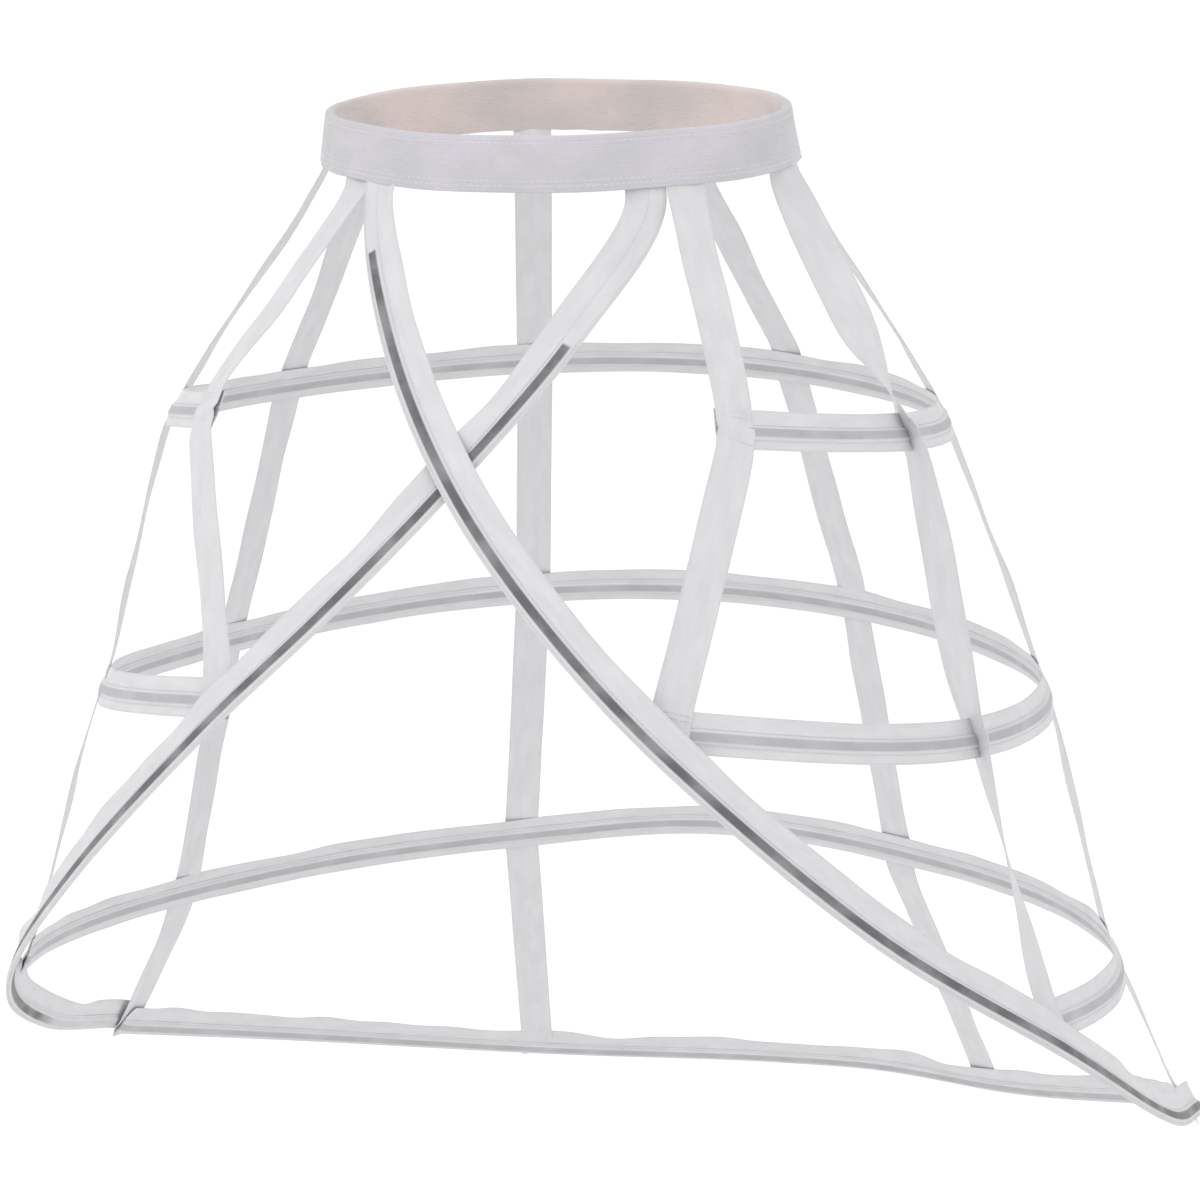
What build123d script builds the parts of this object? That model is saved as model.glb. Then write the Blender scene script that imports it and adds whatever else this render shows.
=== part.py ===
from build123d import *
import os
from bisect import bisect
from dataclasses import dataclass
from itertools import accumulate
from math import cos, inf, radians, sin, tan

# Crinoline cage: eight hanging tapes carry three hoops that are open at the front, two boned front edges
# that cross below the waist, and a boned hem that runs round the back to meet them.
# Millimetres. +Z is up, the wearer faces -Y, and the wearer's left is +X.
# The origin is the centre of the waistband. Angles round the body are counted from the centre back.

# ---- ribbon, bones and sewing ----
TAPE_WIDTH = 20.0           # every ribbon is cut from the same roll
TAPE_THICKNESS = 0.8
SEWN_GAP = 0.15             # left between two layers that are sewn face to face
LAP_GAP = 0.8               # the same where a curved casing lies over a flat tape
BONE_WIDTH = 4.0            # flat sprung bone
BONE_THICKNESS = 1.4
CAP_WALL = 0.25             # dipped cap on each end of a bone
CAP_LENGTH = 7.0
CHANNEL_CLEARANCE = 0.3     # between a bone's cap and its channel
CHANNEL_WALL = 0.5
CHANNEL_SHOULDER = 0.9      # how far the channel's swelling slopes on each side
HOOP_LOWER_FLANGE = 4.5     # ribbon left below a hoop's channel
EDGE_LOWER_FLANGE = 1.2     # ribbon left outside a front edge's channel
BONE_SETBACK = 5.0          # from a casing's end to the cap of its bone
FOOT_TRIM = 8.0             # how far a tape's foot stops short of the bone of the front edge over it
SEAT_RUN = 1.0              # how far a tape lies flat beyond the ribbon that it is sewn over
HALF_LAP = TAPE_WIDTH / 2   # how far a casing runs past the middle of the tape that ends it

# ---- waistband: elastic folded double, with its fold at the top ----
WAIST_HALF_WIDTH = 120.0    # to the middle of its thickness, at mid height
WAIST_HALF_DEPTH = 89.0
WAIST_HEIGHT = 28.0
WAIST_PITCH = 7.0           # degrees that the back stands higher than the front
WAIST_FLARE = 9.0           # degrees that the wall opens downwards
WAIST_PLY = 1.0
POCKET_EASE = 1.0           # lets a flat ribbon lie between two curved plies
WAIST_FOLD = 2.0            # solid height at the fold
RIBBON_INSET = 12.0         # how far each ribbon goes up between the plies
WAIST_CLEAR = 2.5           # below the band before a ribbon turns outwards
LAYER_GAP = 0.25            # between two ribbons that share the pocket, on each side of its middle

TAPES = ("back", "rear", "side", "front")     # one pair of each


NEARBY = 0.05   # degrees over which a hoop counts as straight


@dataclass
class Hoop:
    """A horizontal ring of the cage: an ellipse that leans, and that hangs lower at its sides."""
    half_width: float
    half_depth: float
    centre_y: float
    height: float
    lean: float             # degrees, positive where the back stands higher
    droop: float            # how much lower it hangs at the sides
    flare: float            # degrees that its ribbon opens downwards
    end: float              # angle at which each of its ends lies
    stations: dict          # angle at which each pair of tapes crosses it

    def point(self, angle):
        t = radians(angle)
        rise = tan(radians(self.lean)) * self.half_depth * cos(t) - self.droop * sin(t) ** 2
        return Vector(self.half_width * sin(t), self.centre_y + self.half_depth * cos(t), self.height + rise)

    def tangent(self, angle):
        return (self.point(angle + NEARBY) - self.point(angle - NEARBY)).normalized()

    def outward(self, angle):
        t = radians(angle)
        return Vector(self.half_depth * sin(t), self.half_width * cos(t), 0).normalized()

    def down(self, angle):
        """The direction of the ribbon's width, down and outwards, square to the hoop."""
        tilt = radians(self.flare)
        leaning = self.outward(angle) * sin(tilt) - Vector(0, 0, 1) * cos(tilt)
        return square_to(leaning, self.tangent(angle))

    def angle_beyond(self, angle, distance):
        """The angle that lies a distance further round than the one given."""
        mm_per_degree = (self.point(angle + NEARBY) - self.point(angle)).length / NEARBY
        return angle + distance / mm_per_degree


def square_to(vector, axis):
    """The unit vector nearest to the one given that is square to a unit axis."""
    return (vector - axis * vector.dot(axis)).normalized()


WAIST = Hoop(
    half_width=WAIST_HALF_WIDTH, half_depth=WAIST_HALF_DEPTH, centre_y=0.0, height=0.0,
    lean=WAIST_PITCH, droop=0.0, flare=WAIST_FLARE, end=180.0,
    stations={"back": 20.0, "rear": 68.0, "side": 98.0, "front": 136.0},
)
HIP = Hoop(
    half_width=198.0, half_depth=204.0, centre_y=4.0, height=-130.0,
    lean=-2.3, droop=15.0, flare=28.0, end=138.0,
    stations={"back": 22.0, "rear": 66.0, "side": 104.0, "front": 138.0},
)
THIGH = Hoop(
    half_width=248.0, half_depth=249.0, centre_y=31.0, height=-269.0,
    lean=-2.5, droop=27.0, flare=20.0, end=153.0,
    stations={"back": 23.0, "rear": 69.0, "side": 111.0, "front": 153.0},
)
KNEE = Hoop(
    half_width=289.0, half_depth=297.0, centre_y=26.0, height=-416.0,
    lean=-3.6, droop=23.0, flare=20.0, end=109.0,
    stations={"back": 24.0, "rear": 69.0, "side": 109.0},
)
HEM = Hoop(
    half_width=316.0, half_depth=368.0, centre_y=102.0, height=-524.0,
    lean=-15.6, droop=0.0, flare=32.0, end=83.0,
    stations={"back": 28.0, "rear": 83.0},
)
HOOPS = {"hip": HIP, "thigh": THIGH, "knee": KNEE}

# ---- front edges: they start at the waist in front of the front tapes and cross at the centre front ----
EDGE_WAIST_ANGLE = 146.2                # where the middle of each one's ribbon starts on the waistband
EDGE_UPPER = Vector(48, -124, -89)      # between the waistband and the crossing, on the starting side
EDGE_CROSSING = Vector(0, -176, -156)
EDGE_LOWER = Vector(52, -199, -215)     # between the crossing and the thigh hoop, on the far side
EDGE_FREE = Vector(206, -160, -365)     # between the thigh hoop and the knee hoop
EDGE_FLARES = {"upper": 46.0, "crossing": 31.0, "lower": 22.0, "free": 14.0}    # degrees from upright
TIP_EASE = 0.5                          # how much further out an edge lies where it laps over the hem's end
EDGE_DROP = 14.0                        # from a hoop's middle to the edge's bone, where the edge passes its end
EDGE_HEM_ANGLE = 99.0                   # where the edge falls into the line of the hem
OVER_EDGE_PLAIN = 38.0                  # ribbon without a bone below the waistband, on the edge that lies outside
UNDER_EDGE_PLAIN = 96.0                 # the same on the edge that lies inside

# ---- worked out from the values above ----
CAP_WIDTH = BONE_WIDTH + 2 * CAP_WALL
CAP_THICKNESS = BONE_THICKNESS + 2 * CAP_WALL
CHANNEL_WIDTH = CAP_WIDTH + 2 * CHANNEL_CLEARANCE
CHANNEL_THICKNESS = CAP_THICKNESS + 2 * CHANNEL_CLEARANCE
SWELL_HALF = CHANNEL_THICKNESS / 2 + CHANNEL_WALL       # from a casing's middle to the top of its swelling
SWELL_FOOT = CHANNEL_WIDTH / 2 + CHANNEL_WALL + CHANNEL_SHOULDER
HOOP_LOW = SWELL_FOOT + HOOP_LOWER_FLANGE               # from a hoop's bone to the lower edge of its ribbon
EDGE_LOW = SWELL_FOOT + EDGE_LOWER_FLANGE
TAPE_HALF = TAPE_THICKNESS / 2
TAPE_OFFSET = SWELL_HALF + SEWN_GAP + TAPE_HALF         # from a hoop's middle to a tape that crosses it
EDGE_OFFSET = TAPE_OFFSET + TAPE_HALF + LAP_GAP + SWELL_HALF
PLY_OFFSET = TAPE_HALF + LAYER_GAP                      # two ribbons face to face in the waistband's pocket
WAIST_POCKET = 2 * TAPE_THICKNESS + 4 * SEWN_GAP + POCKET_EASE
CROSSING_OFFSET = SWELL_HALF + SEWN_GAP / 2             # keeps the two front edges apart where they cross
CUT_PAST = 1.0                                          # how far a cut runs past the solid that it opens


def section(centre, across, out, outline):
    """A closed outline of (distance across, distance out) pairs, set round a centre."""
    return Wire.make_polygon([centre + across * w + out * n for w, n in outline], close=True)


def rectangle(width, thickness, middle=0.0):
    """The outline of a plain strip whose middle lies a distance across from the centre."""
    low, high, half = middle - width / 2, middle + width / 2, thickness / 2
    return [(low, -half), (high, -half), (high, half), (low, half)]


def casing_outline(low, swelling=1.0):
    """The outline of a ribbon casing: a flat ribbon that swells round its channel at the centre."""
    top = SWELL_FOOT - CHANNEL_SHOULDER
    height = TAPE_HALF + (SWELL_HALF - TAPE_HALF) * swelling
    outer = [(low - TAPE_WIDTH, TAPE_HALF), (-SWELL_FOOT, TAPE_HALF), (-top, height),
             (top, height), (SWELL_FOOT, TAPE_HALF), (low, TAPE_HALF)]
    return outer + [(w, -n) for w, n in reversed(outer)]


def strip(frames, outline):
    """A solid that carries one outline through a list of (centre, across, out) frames."""
    return Solid.make_loft([section(*frame, outline) for frame in frames])


def along(start, end, count):
    """Evenly spaced values from start to end."""
    return [start + (end - start) * i / (count - 1) for i in range(count)]


# ---- hoops and hem: a ribbon casing, its bone, and the two caps of the bone ----
HOOP_FRAME_STEP = 11.0      # degrees between two frames of a hoop


def hoop_frames(hoop, start, end):
    count = max(3, round(abs(end - start) / HOOP_FRAME_STEP) + 1)
    frames = []
    for angle in along(start, end, count):
        across = hoop.down(angle)
        frames.append((hoop.point(angle), across, hoop.tangent(angle).cross(across).normalized()))
    return frames


def hoop_parts(hoop, low, overrun):
    """The casing, bone and caps of a hoop whose casing runs a distance past its end stations."""
    end = hoop.angle_beyond(hoop.end, overrun)
    per_mm = hoop.angle_beyond(hoop.end, 1.0) - hoop.end
    cap_end = end - BONE_SETBACK * per_mm
    bone_end = cap_end - CAP_LENGTH * per_mm
    beyond = end + CUT_PAST * per_mm
    casing = strip(hoop_frames(hoop, -end, end), casing_outline(low))
    casing -= strip(hoop_frames(hoop, -beyond, beyond), rectangle(CHANNEL_WIDTH, CHANNEL_THICKNESS))
    bone = strip(hoop_frames(hoop, -bone_end, bone_end), rectangle(BONE_WIDTH, BONE_THICKNESS))
    caps = [strip(hoop_frames(hoop, side * bone_end, side * cap_end), rectangle(CAP_WIDTH, CAP_THICKNESS))
            for side in (-1, 1)]
    return casing, bone, caps


# ---- tapes and front edges: ribbons that run down the cage through a chain of nodes ----
RIBBON_FRAME_STEP = 10.0     # distance between two frames of a ribbon
TAPE_GRIP = 30.0            # how far a tape takes to turn towards its next hoop
EDGE_GRIP = 60.0            # the same for a front edge where it leaves the waistband
SWELL_LEAD = 1.5            # steps before its channel at which a ribbon starts to swell, grown in one step
CHAIN_SPAN_STEPS = 20       # how finely the length between two nodes is measured


@dataclass
class Node:
    """A place that a ribbon passes, with the way it heads and the way its outer face looks."""
    point: Vector
    heading: Vector
    out: Vector
    grip: float = inf       # the most of a free stretch over which the ribbon still follows that heading


def mirrored(vector, side):
    """The vector itself on the wearer's left, and its mirror image on the right."""
    return Vector(side * vector.X, vector.Y, vector.Z)


def on_hoop(hoop, angle, side, below, offset, heading=None, back=0.0):
    """A node on one side of a hoop, below its bone, out from its middle and back towards the centre back."""
    down = hoop.down(angle)
    out = hoop.tangent(angle).cross(down).normalized()
    heading = square_to(heading, out) if heading else down
    point = hoop.point(angle) + heading * (below / heading.dot(down)) + out * offset - hoop.tangent(angle) * back
    return Node(mirrored(point, side), mirrored(heading, side), mirrored(out, side))


def in_waistband(angle, side, layer, back=0.0):
    """The two nodes of a ribbon that is sewn between the plies of the waistband."""
    offset = layer * PLY_OFFSET - POCKET_EASE / 2
    top, foot = WAIST_HEIGHT / 2 - RIBBON_INSET, WAIST_HEIGHT / 2 + WAIST_CLEAR
    return [on_hoop(WAIST, angle, side, below, offset, back=back) for below in (top, foot)]


def hermite(first, last, u):
    """The frame a share of the way from one node to the next, on a cubic that keeps both headings."""
    reach = (last.point - first.point).length
    start, end = first.heading * min(reach, first.grip), last.heading * min(reach, last.grip)
    h_last = 3 * u ** 2 - 2 * u ** 3
    centre = first.point * (1 - h_last) + last.point * h_last
    centre += start * (u - 2 * u ** 2 + u ** 3) + end * (u ** 3 - u ** 2)
    slope = (last.point - first.point) * (6 * u - 6 * u ** 2)
    slope += start * (1 - 4 * u + 3 * u ** 2) + end * (3 * u ** 2 - 2 * u)
    heading = slope.normalized()
    out = square_to(first.out * (1 - u) + last.out * u, heading)
    return centre, heading.cross(out), out


class Chain:
    """A ribbon's path through its nodes, measured along its length."""

    def __init__(self, nodes):
        self.nodes = nodes
        steps = (len(nodes) - 1) * CHAIN_SPAN_STEPS
        points = [self.frame_of(step / CHAIN_SPAN_STEPS)[0] for step in range(steps + 1)]
        self.lengths = [0.0, *accumulate((after - before).length for before, after in zip(points, points[1:]))]
        self.length = self.lengths[-1]

    def frame_of(self, position):
        """The frame at a position: 2.5 is half way from the third node to the fourth."""
        index = min(int(position), len(self.nodes) - 2)
        return hermite(self.nodes[index], self.nodes[index + 1], position - index)

    def frame_at(self, length):
        """The frame at a length along the chain."""
        index = max(1, min(bisect(self.lengths, length), len(self.lengths) - 1))
        before, after = self.lengths[index - 1], self.lengths[index]
        share = (length - before) / (after - before)
        return self.frame_of((index - 1 + share) / CHAIN_SPAN_STEPS)

    def node_length(self, index):
        """The length along the chain at which a node lies."""
        return self.lengths[index * CHAIN_SPAN_STEPS]

    def stations(self, start, end):
        """Lengths from one to another, at even distances."""
        return along(start, end, max(3, round((end - start) / RIBBON_FRAME_STEP) + 1))


def ribbon(chain, outline_at):
    """A ribbon along a whole chain: flat between the plies of the waistband, then following the chain."""
    edge = chain.node_length(1)
    spans = [(0, edge / 2, edge), chain.stations(edge, chain.length)]
    sewn_in, hanging = [
        Solid.make_loft([section(*chain.frame_at(length), outline_at(length)) for length in span]) for span in spans
    ]
    return sewn_in + hanging


def tape(pair, side):
    """A tape from the waistband down over its hoops; its foot ends on the hem or under a front edge."""
    hoops = [hoop for hoop in (HIP, THIGH, KNEE, HEM) if pair in hoop.stations]
    places = [hoop.point(hoop.stations[pair]) for hoop in (WAIST, *hoops)]
    nodes = in_waistband(WAIST.stations[pair], side, side if pair == "front" else 0)
    for index, hoop in enumerate(hoops, start=1):
        last = index == len(hoops)
        before = (places[index] - places[index - 1]).normalized()
        after = before if last else (places[index + 1] - places[index]).normalized()
        low = EDGE_LOW if hoop is HEM else HOOP_LOW
        if not last:
            foot = low + SEAT_RUN
        elif hoop is HEM:
            foot = low
        else:
            foot = EDGE_DROP - FOOT_TRIM
        for below, heading in ((low - TAPE_WIDTH - SEAT_RUN, before), (foot, after)):
            nodes.append(on_hoop(hoop, hoop.stations[pair], side, below, TAPE_OFFSET, heading))
    for node in nodes:
        node.grip = TAPE_GRIP
    chain = Chain(nodes)
    flat = rectangle(TAPE_WIDTH, TAPE_THICKNESS)
    return ribbon(chain, lambda length: flat)


def free_node(point, flare, side, offset=0.0):
    """A node of a front edge that no hoop carries; its face looks away from the body's axis."""
    tilt = radians(flare)
    out = Vector(point.X, point.Y, 0).normalized() * cos(tilt) + Vector(0, 0, sin(tilt))
    return Node(mirrored(point + out * offset, side), Vector(), mirrored(out, side))


def front_edge_nodes(side, layer):
    """The nodes of a front edge from its start across the body to its tip on the side given."""
    upper, crossing, lower, free = (EDGE_FLARES[key] for key in ("upper", "crossing", "lower", "free"))
    nodes = in_waistband(EDGE_WAIST_ANGLE, -side, layer, back=TAPE_WIDTH / 2 - EDGE_LOW)
    nodes[-1].grip = EDGE_GRIP
    nodes += [free_node(EDGE_UPPER, upper, -side), free_node(EDGE_CROSSING, crossing, side, layer * CROSSING_OFFSET),
              free_node(EDGE_LOWER, lower, side), on_hoop(THIGH, THIGH.end, side, EDGE_DROP, EDGE_OFFSET),
              free_node(EDGE_FREE, free, side), on_hoop(KNEE, KNEE.end, side, EDGE_DROP, EDGE_OFFSET),
              on_hoop(HEM, EDGE_HEM_ANGLE, side, 0, EDGE_OFFSET)]
    nodes += [on_hoop(HEM, angle, side, 0, EDGE_OFFSET + TIP_EASE)
              for angle in (HEM.end, HEM.angle_beyond(HEM.end, -HALF_LAP))]
    for before, node, after in zip(nodes[1:], nodes[2:], nodes[3:]):
        node.heading = (after.point - before.point).normalized()
    nodes[-1].heading = (nodes[-1].point - nodes[-2].point).normalized()
    return nodes


def front_edge(side, layer, plain_length):
    """The ribbon, bone and caps of a front edge whose ribbon is plain for a length below the waistband."""
    chain = Chain(front_edge_nodes(side, layer))
    channel_start = chain.node_length(1) + plain_length
    cap_start = channel_start + CHANNEL_CLEARANCE
    bone_start = cap_start + CAP_LENGTH
    cap_end = chain.length - BONE_SETBACK
    bone_end = cap_end - CAP_LENGTH

    def run(start, end, outline):
        handed = [(side * w, n) for w, n in outline]
        return strip([chain.frame_at(length) for length in chain.stations(start, end)], handed)

    def outline_at(length):
        swelling = min(1.0, max(0.0, (length - channel_start) / RIBBON_FRAME_STEP + SWELL_LEAD))
        return [(side * w, n) for w, n in casing_outline(EDGE_LOW, swelling)]

    casing = ribbon(chain, outline_at)
    casing -= run(channel_start, chain.length + CUT_PAST, rectangle(CHANNEL_WIDTH, CHANNEL_THICKNESS))
    bone = run(bone_start, bone_end, rectangle(BONE_WIDTH, BONE_THICKNESS))
    cap_outline = rectangle(CAP_WIDTH, CAP_THICKNESS)
    caps = [run(cap_start, bone_start, cap_outline), run(bone_end, cap_end, cap_outline)]
    return casing, bone, caps


# ---- waistband ----
def waist_cone(offset, low, high):
    """The solid inside the waistband's leaning wall, moved out by an offset, between two heights."""
    pitch = radians(WAIST_PITCH)
    rings = []
    for height in (low, high):
        grow = offset - tan(radians(WAIST_FLARE)) * height
        plane = Plane(origin=(0, 0, height), x_dir=(1, 0, 0), z_dir=(0, -sin(pitch), cos(pitch)))
        depth = (WAIST_HALF_DEPTH + grow) / cos(pitch)
        rings.append((plane * Ellipse(WAIST_HALF_WIDTH + grow, depth)).wire())
    return Solid.make_loft(rings, ruled=True)


def waistband():
    """Elastic folded over at its top edge, open below, with the ribbons' pocket between its plies."""
    half = WAIST_HEIGHT / 2
    wall = WAIST_POCKET / 2 + WAIST_PLY
    below, above = -half - CUT_PAST, half + CUT_PAST
    band = waist_cone(wall, -half, half) - waist_cone(-wall, below, above)
    pocket = waist_cone(WAIST_POCKET / 2, below, half - WAIST_FOLD)
    pocket -= waist_cone(-WAIST_POCKET / 2, below - CUT_PAST, above)
    return band - pocket


# ---- all pieces, one file for each node ----
def make_parts():
    parts = {"waistband": waistband()}
    for pair in TAPES:
        for name, side in (("left", 1), ("right", -1)):
            parts[f"{pair}_tape_{name}"] = tape(pair, side)
    for name, hoop in HOOPS.items():
        casing, bone, caps = hoop_parts(hoop, HOOP_LOW, HALF_LAP)
        parts.update({f"{name}_hoop_casing": casing, f"{name}_hoop_bone": bone, f"{name}_hoop_bone_caps": caps})
    casing, bone, caps = hoop_parts(HEM, EDGE_LOW, HALF_LAP)
    parts.update({"hem_casing": casing, "hem_bone": bone, "hem_bone_caps": caps})
    for name, side, layer, plain in (("over", 1, 1, OVER_EDGE_PLAIN), ("under", -1, -1, UNDER_EDGE_PLAIN)):
        casing, bone, caps = front_edge(side, layer, plain)
        parts.update({f"{name}_edge_casing": casing, f"{name}_edge_bone": bone, f"{name}_edge_bone_caps": caps})
    return parts


def main():
    os.makedirs("parts", exist_ok=True)
    for name, shape in make_parts().items():
        solids = shape if isinstance(shape, list) else shape.solids()
        export_step(Compound(children=list(solids)) if len(solids) > 1 else solids[0], f"parts/{name}.step")


if __name__ == "__main__":
    main()
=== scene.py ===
from dataclasses import dataclass, field

import bmesh
import bpy
import numpy as np
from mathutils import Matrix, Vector


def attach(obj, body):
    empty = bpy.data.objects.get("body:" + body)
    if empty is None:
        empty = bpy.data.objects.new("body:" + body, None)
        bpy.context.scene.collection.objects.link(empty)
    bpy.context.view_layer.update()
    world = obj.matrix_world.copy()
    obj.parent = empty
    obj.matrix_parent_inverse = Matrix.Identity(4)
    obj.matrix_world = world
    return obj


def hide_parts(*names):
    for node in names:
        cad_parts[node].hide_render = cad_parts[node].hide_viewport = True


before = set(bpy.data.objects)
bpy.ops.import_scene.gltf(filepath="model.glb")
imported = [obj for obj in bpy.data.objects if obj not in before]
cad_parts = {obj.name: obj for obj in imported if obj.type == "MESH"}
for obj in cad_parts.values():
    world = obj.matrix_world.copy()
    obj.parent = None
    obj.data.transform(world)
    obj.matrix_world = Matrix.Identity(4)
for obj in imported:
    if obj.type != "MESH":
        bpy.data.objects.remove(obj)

# Crinoline cage in ribbon, elastic and flat steel. Metres, in the same frame as the CAD model: +Z is up, the wearer
# faces -Y, the wearer's left is +X, and the origin is the centre of the waistband. Angles round the body are in
# degrees from the centre back. A ribbon's own coordinates are across (down the cage), out (away from the body)
# and along its run.

bl_info = {
    "name": "Crinoline Cage",
    "version": (1, 0, 0),
    "blender": (4, 5, 0),
    "location": "3D View > Sidebar > Cage",
    "description": "Builds an open-front crinoline cage of ribbon and bones, with its stage",
    "category": "Add Mesh",
}

MM = 0.001
RUN_STEP = 2.5 * MM             # between two points of a hoop
CHAIN_STEP = 1.5625 * MM        # between two points of a tape or a front edge
CHAIN_SPAN_STEPS = 40           # how finely the length between two nodes is measured
NEARBY = 0.05                   # degrees over which a hoop counts as straight
SHARP = np.radians(50)          # two faces that meet at more than this keep a sharp edge


# ---- values that a user would change ----
class RibbonSettings(bpy.types.PropertyGroup):
    width: bpy.props.FloatProperty(
        name="Width", description="Width of every ribbon", default=0.020, unit="LENGTH")
    ply: bpy.props.FloatProperty(
        name="Thickness", description="Thickness of one layer of ribbon", default=0.0005, unit="LENGTH")
    selvedge: bpy.props.FloatProperty(
        name="Selvedge", description="Width of the denser woven edge", default=0.0009, unit="LENGTH")
    flutter: bpy.props.FloatProperty(
        name="Flutter", description="How far a free edge waves in and out", default=0.0005, unit="LENGTH")
    colour: bpy.props.FloatVectorProperty(
        name="Ribbon", description="Colour of the ribbon", default=(0.60, 0.60, 0.612), subtype="COLOR", size=3)


class BoneSettings(bpy.types.PropertyGroup):
    channel_width: bpy.props.FloatProperty(
        name="Channel width", description="Width inside the sewn channel", default=0.0051, unit="LENGTH")
    channel_thickness: bpy.props.FloatProperty(
        name="Channel thickness", description="Thickness inside the sewn channel", default=0.0025, unit="LENGTH")
    # Where a bone 'shows through' below, the colour is painted shade: the ribbon darkened along the bone's channel,
    # where the swelling turns away from the light.
    hoop_painted_shade: bpy.props.FloatVectorProperty(
        name="Hoop channel", description="Ribbon where a hoop's bone shows through", default=(0.37, 0.37, 0.385),
        subtype="COLOR", size=3)
    edge_painted_shade: bpy.props.FloatVectorProperty(
        name="Edge channel", description="Ribbon where a front edge's bone shows through",
        default=(0.115, 0.115, 0.12), subtype="COLOR", size=3)
    steel: bpy.props.FloatVectorProperty(
        name="Steel", description="Colour of the sprung steel", default=(0.42, 0.42, 0.43), subtype="COLOR", size=3)
    cap: bpy.props.FloatVectorProperty(
        name="Cap", description="Colour of the dipped end of a bone", default=(0.10, 0.10, 0.11),
        subtype="COLOR", size=3)


class WaistbandSettings(bpy.types.PropertyGroup):
    half_width: bpy.props.FloatProperty(
        name="Half width", description="From the centre to the middle of the wall, at the sides",
        default=0.120, unit="LENGTH")
    half_depth: bpy.props.FloatProperty(
        name="Half depth", description="From the centre to the middle of the wall, at the back",
        default=0.089, unit="LENGTH")
    height: bpy.props.FloatProperty(
        name="Height", description="Height of the folded band", default=0.028, unit="LENGTH")
    ply: bpy.props.FloatProperty(
        name="Thickness", description="Thickness of one layer of elastic", default=0.001, unit="LENGTH")
    pocket: bpy.props.FloatProperty(
        name="Pocket", description="Room between the two layers", default=0.0032, unit="LENGTH")
    outside: bpy.props.FloatVectorProperty(
        name="Outside", description="Colour of the elastic's outer face", default=(0.50, 0.495, 0.508),
        subtype="COLOR", size=3)
    inside: bpy.props.FloatVectorProperty(
        name="Inside", description="Colour of the elastic's inner face", default=(0.54, 0.485, 0.475),
        subtype="COLOR", size=3)


class StageSettings(bpy.types.PropertyGroup):
    azimuth: bpy.props.FloatProperty(
        name="Azimuth", description="Turn of the camera from the centre front", default=16.73, min=-180, max=180)
    elevation: bpy.props.FloatProperty(
        name="Elevation", description="Angle of the camera above the horizon", default=9.876, min=-89, max=89)
    distance: bpy.props.FloatProperty(
        name="Distance", description="From the camera to what it looks at", default=1.9936, unit="LENGTH")
    lens: bpy.props.FloatProperty(
        name="Lens", description="Focal length", default=113.9, unit="CAMERA")
    floor_drop: bpy.props.FloatProperty(
        name="Floor", description="From the waist down to the floor", default=1.04, unit="LENGTH")
    floor_colour: bpy.props.FloatVectorProperty(
        name="Floor colour", description="Colour of the floor and backdrop", default=(0.97, 0.97, 0.97),
        subtype="COLOR", size=3)


SETTINGS = {"cage_ribbon": RibbonSettings, "cage_bone": BoneSettings, "cage_waistband": WaistbandSettings,
            "cage_stage": StageSettings}


# ---- vectors, as arrays with x, y, z last ----
def unit(vectors):
    """Each vector divided by its own length."""
    return vectors / np.linalg.norm(vectors, axis=-1, keepdims=True)


def dot(a, b):
    return np.sum(a * b, axis=-1, keepdims=True)


def square_to(vectors, axes):
    """Each vector less its share along a unit axis, brought back to length 1."""
    return unit(vectors - axes * dot(vectors, axes))


def smooth_step(x):
    """3x^2 - 2x^3 between 0 and 1, and flat outside."""
    x = np.clip(x, 0, 1)
    return x * x * (3 - 2 * x)


def through(places, values, at):
    """A smooth line through values at places: a Catmull-Rom cubic in each span, read at the places given."""
    places, values = np.asarray(places, float), np.asarray(values, float)
    slopes = np.gradient(values, places, axis=0)
    index = np.clip(np.searchsorted(places, at, side="right") - 1, 0, len(places) - 2)
    span = places[index + 1] - places[index]
    u = np.clip((at - places[index]) / span, 0, 1)
    if values.ndim > 1:
        u, span = u[..., None], span[..., None]
    return (values[index] * (2 * u ** 3 - 3 * u ** 2 + 1) + values[index + 1] * (3 * u ** 2 - 2 * u ** 3)
            + span * (slopes[index] * (u ** 3 - 2 * u ** 2 + u) + slopes[index + 1] * (u ** 3 - u ** 2)))


# ---- hoops ----
@dataclass
class Hoop:
    """An ellipse that leans by some degrees, hangs lower at its sides, and opens downwards by its flare. Its stations
    are the angles of the tapes that cross it, and its drift is where it hangs out of its own shape."""
    half_width: float
    half_depth: float
    centre_y: float
    height: float
    lean: float
    droop: float
    flare: float
    end: float
    stations: dict
    drift: dict = field(default_factory=lambda: {-180: (0, 0), 180: (0, 0)})    # angle: (out, up), millimetres

    def point(self, angle):
        """(a sin t, c + b cos t, h + tan(lean) b cos t - droop sin^2 t), moved by the drift."""
        t = np.radians(angle)
        sine, cosine = np.sin(t), np.cos(t)
        moved = through(list(self.drift), list(self.drift.values()), np.asarray(angle, float))
        out, up = np.moveaxis(moved, -1, 0) * MM
        rise = np.tan(np.radians(self.lean)) * self.half_depth * cosine - self.droop * sine ** 2
        return np.stack([(self.half_width + out) * sine, self.centre_y + (self.half_depth + out) * cosine,
                         self.height + rise + up], axis=-1)

    def tangent(self, angle):
        return unit(self.point(angle + NEARBY) - self.point(angle - NEARBY))

    def down(self, angle):
        """The ribbon's width: straight down, tilted outwards by the flare, squared to the hoop."""
        t, tilt = np.radians(angle), np.radians(self.flare)
        outward = unit(np.stack([self.half_depth * np.sin(t), self.half_width * np.cos(t), 0 * t], axis=-1))
        return square_to(outward * np.sin(tilt) - np.array([0, 0, 1.0]) * np.cos(tilt), self.tangent(angle))

    def out(self, angle):
        return np.cross(self.tangent(angle), self.down(angle))

    def angle_beyond(self, angle, distance):
        """The angle that lies a distance further round than the one given."""
        per_degree = np.linalg.norm(self.point(angle + NEARBY) - self.point(angle)) / NEARBY
        return angle + distance / per_degree


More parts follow.
